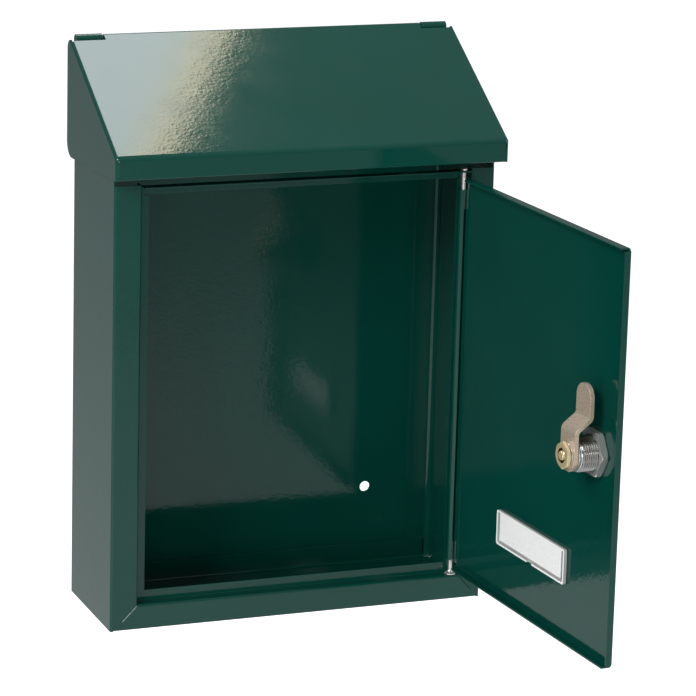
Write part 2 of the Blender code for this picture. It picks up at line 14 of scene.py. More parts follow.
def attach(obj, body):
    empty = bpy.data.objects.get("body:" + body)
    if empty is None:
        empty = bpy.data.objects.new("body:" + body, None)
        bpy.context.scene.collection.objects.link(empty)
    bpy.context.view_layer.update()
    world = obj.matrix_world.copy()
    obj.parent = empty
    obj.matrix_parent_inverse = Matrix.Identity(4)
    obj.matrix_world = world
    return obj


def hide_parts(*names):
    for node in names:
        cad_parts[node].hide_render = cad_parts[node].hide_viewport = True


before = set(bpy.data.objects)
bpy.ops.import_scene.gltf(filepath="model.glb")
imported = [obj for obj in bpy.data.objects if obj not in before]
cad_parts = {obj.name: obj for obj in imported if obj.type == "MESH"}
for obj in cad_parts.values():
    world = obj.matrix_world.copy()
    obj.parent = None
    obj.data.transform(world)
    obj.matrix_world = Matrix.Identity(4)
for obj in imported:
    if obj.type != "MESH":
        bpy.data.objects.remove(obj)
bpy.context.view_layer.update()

MM = 0.001
WIDTH = 215.0
DEPTH = 78.0
SHEET = 0.8
GAP = 0.3
REAR_BEND = 4.0
FRONT_BEND = 1.3
FLANGE_LEFT = 15.3
FLANGE_RIGHT = 13.2
FLANGE_BOTTOM = 14.0
REBATE = 6.8
LEDGE = 5.8
FLANGE_TOP_Z = 244.4
SIDE_FRONT_Z = 252.0
LEDGE_TOP_Z = 238.1
RAIL_TOP_Z = 243.0
SIDE_RETURN = 14.0
BOTTOM_RETURN = 12.0
MITRE_GAP = 0.02
GROOVE = 0.3
SHEET_EDGE = 0.18
LETTER_SLOT = 1.6
LID_BEND = 2.0
CHEEK_CORNER = 5.0
CHEEK_DROP = 3.7
CHEEK_REAR_CORNER = 8.5
LIP_HEM = 0.85
ORIGIN_Z = 156.0

BACK_SHEET = 1.2
BACK_TOP_Z = 306.2
TAB_START = 0.7
TAB_END = 15.4
TAB_SHOULDER_Z = 304.6
HOLE_RADIUS = 3.0
HOLE_INSET = 40.0
HOLE_Z = (45.0, 275.0)

LID_Y = DEPTH - 2.6
LID_Z = 309.4
ROD_RADIUS = 1.32
LID_BORE = 1.4
SLOPE = math.radians(30.0)
LID_FRONT = 11.6
LID_SIDE = 2.9
LIP_Z = 249.5
NOTCH_Y = 70.8
NOTCH_X = 16.4
LID_REAR_Y = 77.6

PIVOT_X = 198.0
PIVOT_Y = 2.45
DOOR_OPEN = math.radians(94.0)
DOOR_SHEET = 1.0
DOOR_BORE = 1.25
DOOR_ROLL = DOOR_BORE + DOOR_SHEET
DOOR_LENGTH = 181.7
DOOR_LOW = 19.1
DOOR_HIGH = 239.7
ROLL_LOW = 22.6
ROLL_HIGH = 232.6
DOOR_FLANGE = 5.9
EDGE_FLANGE = 4.2
DOOR_BEND = 1.3
CORNER_SLIT = 0.6
PIN_RADIUS = 1.18
PIN_REACH = 11.0

LOCK_U = 157.0
LOCK_Z = 128.0
BARREL = 9.5
BARREL_FLATS = 18.2
BARREL_END = 12.2
HEAD_RADIUS = 11.5
HEAD_DEPTH = 2.4
PLUG = 6.2
LOCK_NUT_FLATS = 23.0
LOCK_NUT_DEPTH = 3.8
CAM_WIDTH = 15.0
CAM_SHEET = 2.3
CAM_REACH = 37.0
CAM_CRANK = 8.1
CAM_NUT_FLATS = 13.0
SHANK = 7.0

PLATE_U = 93.0
PLATE_Z = 58.1
PLATE_LENGTH = 76.4
PLATE_HEIGHT = 19.2


# ---------------------------------------------------------------- shapes


def body_point(x, y, z):
    return Vector(((x - WIDTH / 2) * MM, (y - DEPTH) * MM, (z - ORIGIN_Z) * MM))


def mirrored_point(x, y, z):
    return body_point(WIDTH - x, y, z)


def door_point(u, v, z):
    """A place on the door before it is turned: u to the free edge, v inwards, z up."""
    return Vector((-u * MM, v * MM, z * MM))


DOOR_PLACE = Matrix.Translation(body_point(PIVOT_X, PIVOT_Y, 0))
DOOR_PLACE = DOOR_PLACE @ Matrix.Rotation(DOOR_OPEN, 4, "Z")
LOCK_PLACE = DOOR_PLACE @ Matrix.Translation(door_point(LOCK_U, 0, LOCK_Z))
LAY_OVER = Matrix.Rotation(math.radians(-90), 4, "X")


def from_bmesh(name, build):
    mesh = bpy.data.meshes.new(name)
    build.normal_update()
    build.to_mesh(mesh)
    build.free()
    made = bpy.data.objects.new(name, mesh)
    bpy.context.scene.collection.objects.link(made)
    return made


def settle(obj):
    bpy.context.view_layer.update()
    graph = bpy.context.evaluated_depsgraph_get()
    made = bpy.data.meshes.new_from_object(obj.evaluated_get(graph))
    obj.modifiers.clear()
    obj.data = made
    return obj


def combine(obj, other, operation):
    step = obj.modifiers.new("boolean", "BOOLEAN")
    step.operation = operation
    step.solver = "EXACT"
    step.object = other
    settle(obj)
    bpy.data.objects.remove(other)
    return obj


def fuse(obj, *others):
    for other in others:
        combine(obj, other, "UNION")
    return obj


def cut(obj, *others):
    for other in others:
        combine(obj, other, "DIFFERENCE")
    return obj


def rounded(points, radii, steps=8, closed=False):
    """A path through the points, with an arc of the given radius at each one."""
    path = []
    count = len(points)
    for i, here in enumerate(points):
        here = Vector(here)
        if (not closed and i in (0, count - 1)) or radii[i] == 0:
            path.append(here)
            continue
        before = (Vector(points[i - 1]) - here).normalized()
        after = (Vector(points[(i + 1) % count]) - here).normalized()
        half = before.angle(after) / 2
        middle = here + (before + after).normalized() * radii[i] / math.sin(half)
        start = here + before * radii[i] / math.tan(half) - middle
        end = here + after * radii[i] / math.tan(half) - middle
        for step in range(steps + 1):
            path.append(middle + start.slerp(end, step / steps) * radii[i])
    return path


def arc(centre, radius, first, last, steps):
    found = []
    for step in range(steps + 1):
        angle = math.radians(first + (last - first) * step / steps)
        found.append(Vector(centre) + Vector((math.cos(angle), math.sin(angle))) * radius)
    return found


def circle(centre, radius, steps=64):
    return arc(centre, radius, 0, 360 * (steps - 1) / steps, steps - 1)


def hexagon(centre, flats, turn):
    return arc(centre, flats / 2 / math.cos(math.pi / 6), turn, turn + 300, 5)


def rounded_box(centre, length, height, radius, steps=8):
    x, z = centre
    a, b = length / 2, height / 2
    corners = [(x - a, z - b), (x + a, z - b), (x + a, z + b), (x - a, z + b)]
    return rounded(corners, [radius] * 4, steps, closed=True)


def in_space(point, axis, along):
    a, b = point
    if axis == "x":
        return Vector((along, a, b))
    if axis == "y":
        return Vector((a, along, b))
    return Vector((a, b, along))


def draw_out(build, geometry, axis, low, high, place):
    offset = place(*in_space((0, 0), axis, high)) - place(*in_space((0, 0), axis, low))
    moved = [item for item in geometry if isinstance(item, bmesh.types.BMVert)]
    bmesh.ops.translate(build, verts=moved, vec=offset)
    bmesh.ops.recalc_face_normals(build, faces=build.faces)


def prism(name, outline, axis, low, high, place=body_point):
    """A closed outline drawn out along an axis."""
    build = bmesh.new()
    corners = [build.verts.new(place(*in_space(point, axis, low))) for point in outline]
    drawn = bmesh.ops.extrude_face_region(build, geom=[build.faces.new(corners)])
    draw_out(build, drawn["geom"], axis, low, high, place)
    return from_bmesh(name, build)


def folded(name, path, axis, low, high, thickness, place=body_point):
    """Sheet of even thickness that follows a path and runs along an axis."""
    build = bmesh.new()
    corners = [build.verts.new(place(*in_space(point, axis, low))) for point in path]
    for first, second in zip(corners, corners[1:]):
        build.edges.new((first, second))
    drawn = bmesh.ops.extrude_edge_only(build, edges=build.edges[:])
    draw_out(build, drawn["geom"], axis, low, high, place)
    made = from_bmesh(name, build)
    step = made.modifiers.new("sheet", "SOLIDIFY")
    step.thickness = thickness * MM
    step.offset = 0
    step.use_even_offset = True
    return settle(made)


def box(name, low, high, place=body_point):
    outline = [(low[0], low[1]), (high[0], low[1]), (high[0], high[1]), (low[0], high[1])]
    return prism(name, outline, "z", low[2], high[2], place)


def turned(name, profile, steps=64):
    """A solid of revolution about the vertical through the origin, from (radius, height) points."""
    build = bmesh.new()
    corners = [build.verts.new(Vector((r * MM, 0, z * MM))) for r, z in profile]
    for first, second in zip(corners, corners[1:]):
        build.edges.new((first, second))
    bmesh.ops.spin(
        build,
        geom=build.verts[:] + build.edges[:],
        axis=(0, 0, 1),
        cent=(0, 0, 0),
        angle=math.tau,
        steps=steps,
        use_merge=True,
    )
    bmesh.ops.remove_doubles(build, verts=build.verts[:], dist=0.0000005)
    bmesh.ops.recalc_face_normals(build, faces=build.faces)
    return from_bmesh(name, build)


def lay(obj, matrix):
    obj.data.transform(matrix)
    return obj


def soften(obj, edge, angle=50, segments=2):
    """Merges stray corners and rounds a piece's sharp edges."""
    clean = bmesh.new()
    clean.from_mesh(obj.data)
    bmesh.ops.remove_doubles(clean, verts=clean.verts[:], dist=0.000002)
    bmesh.ops.dissolve_limit(
        clean, angle_limit=math.radians(0.3), verts=clean.verts[:], edges=clean.edges[:]
    )
    clean.to_mesh(obj.data)
    clean.free()
    if not edge:
        return obj
    step = obj.modifiers.new("edge", "BEVEL")
    step.width = edge * MM
    step.segments = segments
    step.limit_method = "ANGLE"
    step.angle_limit = math.radians(angle)
    step.use_clamp_overlap = True
    return settle(obj)


def groove_wall(normal):
    return abs(abs(normal.x) - 0.5) < 0.12 and abs(abs(normal.z) - 0.5) < 0.12


def shade(obj, look, smooth=40, crisp=None):
    """Shades bends smooth and flats flat. Faces that pass `crisp` get a sharp outline."""
    mesh = obj.data
    mesh.shade_smooth()
    mesh.set_sharp_from_angle(angle=math.radians(smooth))
    for face in mesh.polygons if crisp else ():
        if crisp(face.normal):
            for loop in face.loop_indices:
                mesh.edges[mesh.loops[loop].edge_index].use_edge_sharp = True
    step = obj.modifiers.new("normals", "WEIGHTED_NORMAL")
    step.keep_sharp = True
    step.weight = 50
    settle(obj)
    obj.data.materials.clear()
    obj.data.materials.append(look)
    return obj


def polish(obj, look, edge=SHEET_EDGE, angle=50, segments=2, smooth=40):
    return shade(soften(obj, edge, angle, segments), look, smooth)


def groove(start, end, place):
    """A diamond section bar that cuts a V along a line in the front plane."""
    low, high = place(start[0], 0, start[1]), place(end[0], 0, end[1])
    front = Vector((0, -GROOVE * MM, 0))
    across = (high - low).normalized().cross(front)
    build = bmesh.new()
    corners = [build.verts.new(low + step) for step in (front, across, -front, -across)]
    drawn = bmesh.ops.extrude_face_region(build, geom=[build.faces.new(corners)])
    moved = [item for item in drawn["geom"] if isinstance(item, bmesh.types.BMVert)]
    bmesh.ops.translate(build, verts=moved, vec=high - low)
    bmesh.ops.recalc_face_normals(build, faces=build.faces)
    return from_bmesh("groove", build)


# ---------------------------------------------------------------- materials


class Look:
    """A node material under construction."""

    def __init__(self, name):
        self.material = bpy.data.materials.new(name)
        self.material.use_nodes = True
        self.nodes = self.material.node_tree.nodes
        self.links = self.material.node_tree.links
        self.shader = self.nodes["Principled BSDF"]
        self.place = self.nodes.new("ShaderNodeTexCoord").outputs["Object"]

    def noise(self, scale, detail=3.0, rough=0.5, stretch=None):
        source = self.place
        if stretch:
            mapping = self.nodes.new("ShaderNodeMapping")
            mapping.inputs["Scale"].default_value = stretch
            self.links.new(source, mapping.inputs["Vector"])
            source = mapping.outputs["Vector"]
        made = self.nodes.new("ShaderNodeTexNoise")
        made.inputs["Scale"].default_value = scale
        made.inputs["Detail"].default_value = detail
        made.inputs["Roughness"].default_value = rough
        self.links.new(source, made.inputs["Vector"])
        return made.outputs["Fac"]

    def ramp(self, value, stops):
        made = self.nodes.new("ShaderNodeValToRGB")
        ramp = made.color_ramp
        while len(ramp.elements) < len(stops):
            ramp.elements.new(0.5)
        for element, (place, colour) in zip(ramp.elements, stops):
            element.position = place
            element.color = (*colour, 1.0)
        self.links.new(value, made.inputs["Fac"])
        return made.outputs["Color"]

    def spread(self, value, low, high):
        made = self.nodes.new("ShaderNodeMapRange")
        made.inputs["From Min"].default_value = 0.3
        made.inputs["From Max"].default_value = 0.7
        made.inputs["To Min"].default_value = low
        made.inputs["To Max"].default_value = high
        self.links.new(value, made.inputs["Value"])
        return made.outputs["Result"]

    def bump(self, value, strength, distance, before=None):
        made = self.nodes.new("ShaderNodeBump")
        made.inputs["Strength"].default_value = strength
        made.inputs["Distance"].default_value = distance
        self.links.new(value, made.inputs["Height"])
        if before:
            self.links.new(before, made.inputs["Normal"])
        return made.outputs["Normal"]

    def set(self, **sockets):
        for name, value in sockets.items():
            socket = self.shader.inputs[name.replace("_", " ")]
            if isinstance(value, bpy.types.NodeSocket):
                self.links.new(value, socket)
            else:
                socket.default_value = value
        return self


def green_paint(name="green_paint", peel=0.30, rough=(0.06, 0.10)):
    look = Look(name)
    patch = look.noise(14.0, 3.0)
    colour = look.ramp(patch, [(0.3, (0.0012, 0.0490, 0.0362)), (0.7, (0.0018, 0.0550, 0.0412))])
    fine = look.noise(620.0, 2.0, 0.45)
    wide = look.noise(190.0, 1.0, 0.4)
    normal = look.bump(fine, peel, 0.00012)
    normal = look.bump(wide, peel * 0.4, 0.00030, normal)
    look.set(Base_Color=colour, Roughness=look.spread(look.noise(45.0), *rough), Normal=normal)
    look.set(IOR=1.5)
    return look.material


def metal(name, dark, light, rough, sheen=1.0, grain=(1.0, 1.0, 1.0), bump=0.03):
    look = Look(name)
    streak = look.noise(900.0, 3.0, 0.6, grain)
    blotch = look.noise(220.0, 3.0)
    look.set(Base_Color=look.ramp(blotch, [(0.3, dark), (0.7, light)]), Metallic=sheen)
    look.set(Roughness=look.spread(streak, *rough), Normal=look.bump(streak, bump, 0.00004))
    return look.material


def plastic(name, dark, light, rough, bump=0.05):
    look = Look(name)
    cloud = look.noise(60.0, 3.0)
    grain = look.noise(1400.0, 2.0)
    look.set(Base_Color=look.ramp(cloud, [(0.3, dark), (0.7, light)]))
    look.set(Roughness=look.spread(grain, *rough), Normal=look.bump(grain, bump, 0.00004))
    return look.material


paint = green_paint()
lid_paint = green_paint("lid_paint", 0.16, (0.06, 0.10))
steel = metal("bright_steel", (0.74, 0.73, 0.71), (0.84, 0.83, 0.81), (0.18, 0.26), 0.8)
cast = metal("cast_lock", (0.66, 0.66, 0.65), (0.76, 0.76, 0.75), (0.16, 0.24), 0.75)
# A dark copy of brass that stands for painted shade on the cam nut's bore walls.
bore_shade_brass = metal("bore_shade_brass", (0.10, 0.07, 0.03), (0.16, 0.11, 0.05), (0.3, 0.4), 1.0)
thread_steel = metal("thread_steel", (0.36, 0.36, 0.35), (0.48, 0.48, 0.47), (0.20, 0.28), 1.0)
cam_steel = metal(
    "cam_steel", (0.76, 0.62, 0.49), (0.78, 0.64, 0.51), (0.27, 0.29), 0.6, bump=0.001
)
brass = metal("brass", (0.86, 0.70, 0.38), (0.95, 0.82, 0.52), (0.16, 0.26), 0.6)
white = plastic("white_plastic", (0.93, 0.94, 0.93), (0.96, 0.97, 0.96), (0.22, 0.34))
shaded_white = plastic("shaded_white", (0.40, 0.40, 0.39), (0.46, 0.46, 0.45), (0.4, 0.5))
paper = plastic("card", (0.72, 0.70, 0.62), (0.80, 0.78, 0.71), (0.75, 0.9), 0.12)
clear = plastic("clear_plastic", (0.90, 0.94, 0.94), (0.96, 0.98, 0.98), (0.03, 0.08), 0.01)
clear_shader = clear.node_tree.nodes["Principled BSDF"]
clear_shader.inputs["Transmission Weight"].default_value = 0.95
clear_shader.inputs["IOR"].default_value = 1.46


def show(obj, node, body, place=None):
    """Puts a finished piece in its place, in its node's stead, on its body."""
    obj.name = node + "_look"
    if place is not None:
        obj.matrix_world = place
    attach(obj, body)
    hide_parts(node)
    return obj


# ---------------------------------------------------------------- body

half = SHEET / 2
ledge_y = REBATE + half
return_y = DEPTH - BACK_SHEET - GAP - half


def lid_top(y):
    rise = (LID_BORE + SHEET) / math.cos(SLOPE)
    return LID_Z + rise + (y - LID_Y) * math.tan(SLOPE)


def mitre_groove(flange, place):
    """The seam's open part: from the opening outwards, where the rest is ground flush."""
    run = Vector((flange - SHEET - 0.7, FLANGE_BOTTOM))
    end = Vector((flange, FLANGE_BOTTOM)) - run * 0.62
    return groove((flange + 1, FLANGE_BOTTOM + 1), end, place)


def side_panel(flange, place):
    step_x = flange - half
    corners = [
        (SIDE_RETURN, return_y),
        (half, return_y),
        (half, half),
        (step_x, half),
        (step_x, ledge_y),
        (flange + LEDGE, ledge_y),
    ]
    bends = [0, REAR_BEND - half, FRONT_BEND - half, FRONT_BEND - half, 0.6, 0]
    panel = folded("side", rounded(corners, bends), "z", 0, LID_Z, SHEET, place)
    slot_y = REBATE + LETTER_SLOT
    under = SHEET / math.cos(SLOPE) + 1.4
    rear_y = DEPTH - 8.0
    shoulder = TAB_SHOULDER_Z - 2 * GAP
    top = [
        (-5, FLANGE_TOP_Z),
        (FRONT_BEND, FLANGE_TOP_Z),
        (FRONT_BEND, SIDE_FRONT_Z),
        (slot_y, SIDE_FRONT_Z),
        (slot_y, lid_top(slot_y) - under),
        (rear_y, lid_top(rear_y) - under),
        (rear_y, shoulder),
        (DEPTH + 5, shoulder),
        (DEPTH + 5, 330),
        (-5, 330),
    ]
    cut(panel, prism("top", top, "x", -5, 30, place))
    cut(panel, box("slot", (2, -5, FLANGE_TOP_Z), (flange + 20, slot_y, 330), place))
    ledge_end = box(
        "ledge_end",
        (flange + 0.05, 3.0, LEDGE_TOP_Z - GAP),
        (flange + 20, 9.0, FLANGE_TOP_Z + 5),
        place,
    )
    inner = (flange + LEDGE + 3, FLANGE_BOTTOM + LEDGE + 3)
    mitre = [
        (SHEET + 0.7, -3),
        (SHEET + 0.7, 0),
        (flange - MITRE_GAP / 2, FLANGE_BOTTOM + MITRE_GAP / 2),
        (inner[0], inner[1] + MITRE_GAP / 2),
        (inner[0] + 9, inner[1]),
        (inner[0] + 9, -3),
    ]
    relief = box(
        "relief",
        (flange - 0.2, 3.6, FLANGE_BOTTOM - 2),
        (flange + 1.5, 9, FLANGE_BOTTOM + 1.8),
        place,
    )
    soften(cut(panel, ledge_end, relief), SHEET_EDGE)
    cut(panel, prism("mitre", mitre, "y", -3, 9, place), mitre_groove(flange, place))
    return shade(panel, paint, crisp=groove_wall)


SIDES = (("left", FLANGE_LEFT, body_point), ("right", FLANGE_RIGHT, mirrored_point))
for side, flange, place in SIDES:
    show(side_panel(flange, place), f"side_panel_{side}", "box")


def bottom_panel():
    rear = return_y - SHEET - GAP
    corners = [
        (rear, BOTTOM_RETURN),
        (rear, half),
        (half, half),
        (half, FLANGE_BOTTOM - half),
        (ledge_y, FLANGE_BOTTOM - half),
        (ledge_y, FLANGE_BOTTOM + LEDGE),
    ]
    bends = [0, 1.6, FRONT_BEND - half, FRONT_BEND - half, 0.6, 0]
    path = rounded(corners, bends)
    panel = folded("bottom", path, "x", SHEET + 0.02, WIDTH - SHEET - 0.02, SHEET)
    soften(panel, SHEET_EDGE)
    for _, flange, place in SIDES:
        inner = (flange + LEDGE + 3, FLANGE_BOTTOM + LEDGE + 3)
        mitre = [
            (SHEET + 0.7 + MITRE_GAP, 0.0),
            (flange + MITRE_GAP / 2, FLANGE_BOTTOM - MITRE_GAP / 2),
            (inner[0] + MITRE_GAP, inner[1]),
            (inner[0] - 30, inner[1] + 5),
            (-4, inner[1]),
            (-4, 0.0),
        ]
        corner = [
            (-2, return_y - 8.3),
            (5.4, return_y - 0.3),
            (5.4, return_y + 3),
            (-2, return_y + 3),
        ]
        cut(
            panel,
            prism("mitre", mitre, "y", -3, 9, place),
            prism("corner", corner, "z", -3, 30, place),
            mitre_groove(flange, place),
        )
    return shade(panel, paint, crisp=groove_wall)


show(bottom_panel(), "bottom_panel", "box")


def top_rail():
    path = [(0.0, RAIL_TOP_Z - half), (ledge_y, RAIL_TOP_Z - half), (ledge_y, LEDGE_TOP_Z)]
    rail = folded(
        "rail",
        rounded(path, [0, 0.8, 0]),
        "x",
        FLANGE_LEFT + 1.6,
        WIDTH - FLANGE_RIGHT - GAP,
        SHEET,
    )
    hole = circle((PIVOT_X, PIVOT_Y), PIN_RADIUS + GAP, 32)
    return cut(rail, prism("hole", hole, "z", RAIL_TOP_Z - 3, RAIL_TOP_Z + 3))


show(polish(top_rail(), paint), "top_rail", "box")


def back_panel():
    low_y = DEPTH - BACK_SHEET
    inset = REAR_BEND + GAP
    plate = box("back", (inset, low_y, GAP), (WIDTH - inset, DEPTH, BACK_TOP_Z))
    middle = LID_BORE + BACK_SHEET / 2
    for start in (TAB_START, WIDTH - TAB_END):
        path = [Vector((LID_Y + middle, TAB_SHOULDER_Z))]
        path += arc((LID_Y, LID_Z), middle, 0, 282, 40)
        tab = folded("tab", path, "x", start, start + TAB_END - TAB_START, BACK_SHEET)
        fuse(plate, soften(tab, 0.5, 60, 3))
    for x in (HOLE_INSET, WIDTH - HOLE_INSET):
        for z in HOLE_Z:
            cut(plate, prism("hole", circle((x, z), HOLE_RADIUS, 48), "y", low_y - 2, DEPTH + 2))
    soften(plate, 0.15)
    for corner in plate.data.vertices:
        corner.co.y = min(corner.co.y, 0.0)
    return shade(plate, paint)


show(back_panel(), "back_panel", "box")

# ---------------------------------------------------------------- lid


def lid_cover():
    """A pan with rounded outer corners, its rear edge rolled round the hinge rod."""
    far_y = LID_REAR_Y
    low_z = LIP_Z - 20
    outline = [
        (-LID_FRONT, low_z),
        (far_y + 20, low_z),
        (far_y + 20, lid_top(far_y + 20)),
        (-LID_FRONT, lid_top(-LID_FRONT)),
    ]
    pan = prism("lid", outline, "x", -LID_SIDE, WIDTH + LID_SIDE)
    step = pan.modifiers.new("edge", "BEVEL")
    step.width = LID_BEND * MM
    step.segments = 8
    step.limit_method = "ANGLE"
    settle(pan)
    drop = SHEET / math.cos(SLOPE)
    inside = [
        (-LID_FRONT + SHEET, low_z - 5),
        (far_y + 40, low_z - 5),
        (far_y + 40, lid_top(far_y + 40) - drop),
        (-LID_FRONT + SHEET, lid_top(-LID_FRONT + SHEET) - drop),
    ]
    hollow = prism("hollow", inside, "x", -LID_SIDE + SHEET, WIDTH + LID_SIDE - SHEET)
    step = hollow.modifiers.new("edge", "BEVEL")
    step.width = (LID_BEND - SHEET) * MM
    step.segments = 5
    step.limit_method = "ANGLE"
    settle(hollow)
    cut(pan, hollow)
    # The open side of the pan: cheeks that drop a little from the lip to a rounded rear corner.
    keep = [
        (-60, LIP_Z),
        (-LID_FRONT + LID_BEND, LIP_Z),
        (far_y, LIP_Z - CHEEK_DROP),
        (far_y, lid_top(far_y) + 0.2),
        (-60, lid_top(-60) + 0.2),
    ]
    keep = rounded(keep, [0, 0, CHEEK_REAR_CORNER, 0, 0], 12, closed=True)
    combine(pan, prism("keep", keep, "x", -20, WIDTH + 20), "INTERSECT")
    inner = (-LID_SIDE + SHEET, WIDTH + LID_SIDE - SHEET)
    trim_low = (inner[0] + 1, -LID_FRONT - 1, LIP_Z - 5)
    cut(pan, box("trim", trim_low, (inner[1] - 1, 0, LIP_Z + LIP_HEM)))
    hem = [
        (-LID_FRONT, LIP_Z),
        (-LID_FRONT + 2 * LIP_HEM, LIP_Z),
        (-LID_FRONT + 2 * LIP_HEM, LIP_Z + 4),
        (-LID_FRONT, LIP_Z + 4),
    ]
    hem = rounded(hem, [LIP_HEM - 0.02, LIP_HEM - 0.02, 0, 0], 6, closed=True)
    fuse(pan, prism("hem", hem, "x", inner[0] + 0.95, inner[1] - 0.95))
    shoulder = rounded(
        [(far_y - 40, lid_top(far_y - 40)), (far_y, lid_top(far_y)), (far_y, LIP_Z)],
        [0, CHEEK_CORNER, 0],
        12,
    )[1:-1]
    shoulder += [(far_y + 5, shoulder[-1][1]), (far_y + 5, 330), (shoulder[0][0], 330)]
    for place in (body_point, mirrored_point):
        cut(pan, prism("shoulder", shoulder, "x", -20, inner[0] + 0.01, place))
        cut(pan, box("notch", (inner[0], NOTCH_Y, 290), (NOTCH_X, 90, 330), place))
    soften(pan, 0.15, 60)
    roll = LID_BORE + half
    touch_y = LID_Y - roll * math.sin(SLOPE)
    cut(pan, box("rear", (NOTCH_X - 2, touch_y, 290), (WIDTH - NOTCH_X + 2, 120, 340)))
    first = math.degrees(SLOPE) + 90
    normal = Vector((-math.sin(SLOPE), math.cos(SLOPE)))
    touch = Vector((LID_Y, LID_Z)) + normal * roll
    lead = touch - Vector((math.cos(SLOPE), math.sin(SLOPE))) * 2.5
    wrap = [lead - normal * 0.03, touch - normal * 0.03]
    wrap += arc((LID_Y, LID_Z), roll, first - 6, first - 262, 40)
    strip = folded("roll", wrap, "x", NOTCH_X, WIDTH - NOTCH_X, SHEET)
    join = bmesh.new()
    join.from_mesh(pan.data)
    join.from_mesh(soften(strip, 0.15, 60).data)
    join.to_mesh(pan.data)
    join.free()
    bpy.data.objects.remove(strip)
    return shade(pan, lid_paint)


show(lid_cover(), "lid_cover", "lid")

rod_ring = circle((LID_Y, LID_Z), ROD_RADIUS, 32)
rod = prism("rod", rod_ring, "x", TAB_START + 0.3, WIDTH - TAB_START - 0.3)
show(polish(rod, paint, edge=0.3), "lid_hinge_rod", "box")

# ---------------------------------------------------------------- door

face_out = -DOOR_ROLL
face_in = -DOOR_BORE
face_mid = (face_out + face_in) / 2


def door_panel():
    edge = DOOR_BEND + 1.0
    plate = box(
        "door",
        (2.6, face_out, DOOR_LOW + edge),
        (DOOR_LENGTH - edge, face_in, DOOR_HIGH - edge),
        door_point,
    )
    roll = [Vector((8.0, face_mid))] + arc((0, 0), DOOR_BORE + DOOR_SHEET / 2, 270, 8, 44)
    fuse(plate, folded("roll", roll, "z", ROLL_LOW, ROLL_HIGH, DOOR_SHEET, door_point))
    bend = DOOR_BEND - DOOR_SHEET / 2
    near = 4.4
    far = DOOR_LENGTH - DOOR_SHEET - CORNER_SLIT
    for z_edge, sign in ((DOOR_HIGH, 1), (DOOR_LOW, -1)):
        z_mid = z_edge - sign * DOOR_SHEET / 2
        corners = [(face_mid, z_mid - sign * 6), (face_mid, z_mid), (face_out + DOOR_FLANGE, z_mid)]
        path = rounded(corners, [0, bend, 0])
        strip = folded("strip", path, "x", near, far, DOOR_SHEET, door_point)
        slant = [
            (near - 3, face_in + 0.4),
            (near + 0.6, face_in + 0.4),
            (near + 4.6, face_out + DOOR_FLANGE + 1),
            (near - 3, face_out + DOOR_FLANGE + 1),
        ]
        low = z_edge - 3 if sign > 0 else z_edge - 1
        cut(strip, prism("slant", slant, "z", low, low + 4, door_point))
        fuse(plate, strip)
    corners = [
        (DOOR_LENGTH - 6, face_mid),
        (DOOR_LENGTH - DOOR_SHEET / 2, face_mid),
        (DOOR_LENGTH - DOOR_SHEET / 2, face_out + EDGE_FLANGE),
    ]
    slit = DOOR_SHEET + CORNER_SLIT
    strip = folded(
        "edge_strip",
        rounded(corners, [0, bend, 0]),
        "z",
        DOOR_LOW + slit,
        DOOR_HIGH - slit,
        DOOR_SHEET,
        door_point,
    )
    fuse(plate, strip)
    hole = prism("hole", circle((LOCK_U, LOCK_Z), BARREL + 0.3, 64), "y", -8, 8, door_point)
    opening = rounded_box((PLATE_U, PLATE_Z), 70, 13.5, 1.5)
    return cut(plate, hole, prism("opening", opening, "y", -8, 8, door_point))


show(polish(door_panel(), paint, edge=0.15), "door_panel", "door", DOOR_PLACE)


def hinge_pin(name, head, head_z, tip_z):
    way = 1 if tip_z > head_z else -1
    profile = [(0, head_z)] + [(r, head_z + way * h) for r, h in head]
    profile += [(PIN_RADIUS, tip_z - way * 0.4), (PIN_RADIUS - 0.4, tip_z), (0, tip_z)]
    pin = polish(turned(name, profile, 40), steel, edge=0, smooth=50)
    place = Matrix.Translation(body_point(PIVOT_X, PIVOT_Y, 0))
    return show(pin, name, "box", place)


foot = [(3.1, 0.0), (3.3, 0.15), (3.3, 0.5), (3.0, 0.75), (2.2, 1.05), (1.6, 1.7), (1.3, 2.3)]
foot.append((PIN_RADIUS, 3.0))
hinge_pin("hinge_pin_lower", foot, FLANGE_BOTTOM + GAP, ROLL_LOW + PIN_REACH)
head = [(1.3, 0.0), (1.7, 0.4), (1.7, 1.1), (PIN_RADIUS, 1.1)]
hinge_pin("hinge_pin_upper", head, RAIL_TOP_Z + GAP + 1.1, ROLL_HIGH - PIN_REACH)

# ---------------------------------------------------------------- lock


def lock_point(u, v, z):
    return Vector((-u * MM, v * MM, z * MM))


def threaded(name, radius, low, high, pitch, depth, flats=None, turns=96):
    """A closed rod along v with a helical thread, and two flats across u if asked for."""
    per_pitch = 8
    rows = int(round((high - low) / pitch * per_pitch))
    build = bmesh.new()
    rings = []
    for row in range(rows + 1):
        height = low + (high - low) * row / rows
        ring = []
        for turn in range(turns):
            angle = math.tau * turn / turns
            phase = (height / pitch - turn / turns) % 1.0
            dip = 1.0 - abs(2.0 * phase - 1.0)
            fade = min(1.0, (high - height) / pitch, (height - low) / pitch + 0.2)
            r = radius - depth * (1.0 - dip * max(0.0, fade))
            u = r * math.cos(angle)
            if flats:
                u = max(-flats / 2, min(flats / 2, u))
            ring.append(build.verts.new(lock_point(u, height, r * math.sin(angle))))
        rings.append(ring)
    for below, above in zip(rings, rings[1:]):
        for i in range(turns):
            j = (i + 1) % turns
            build.faces.new((below[i], below[j], above[j], above[i]))
    build.faces.new(rings[0])
    build.faces.new(rings[-1])
    bmesh.ops.recalc_face_normals(build, faces=build.faces)
    return from_bmesh(name, build)


def lock_piece(obj, node, look, slot, body="cam", **how):
    return show(polish(obj, look, **how), node, body, LOCK_PLACE)


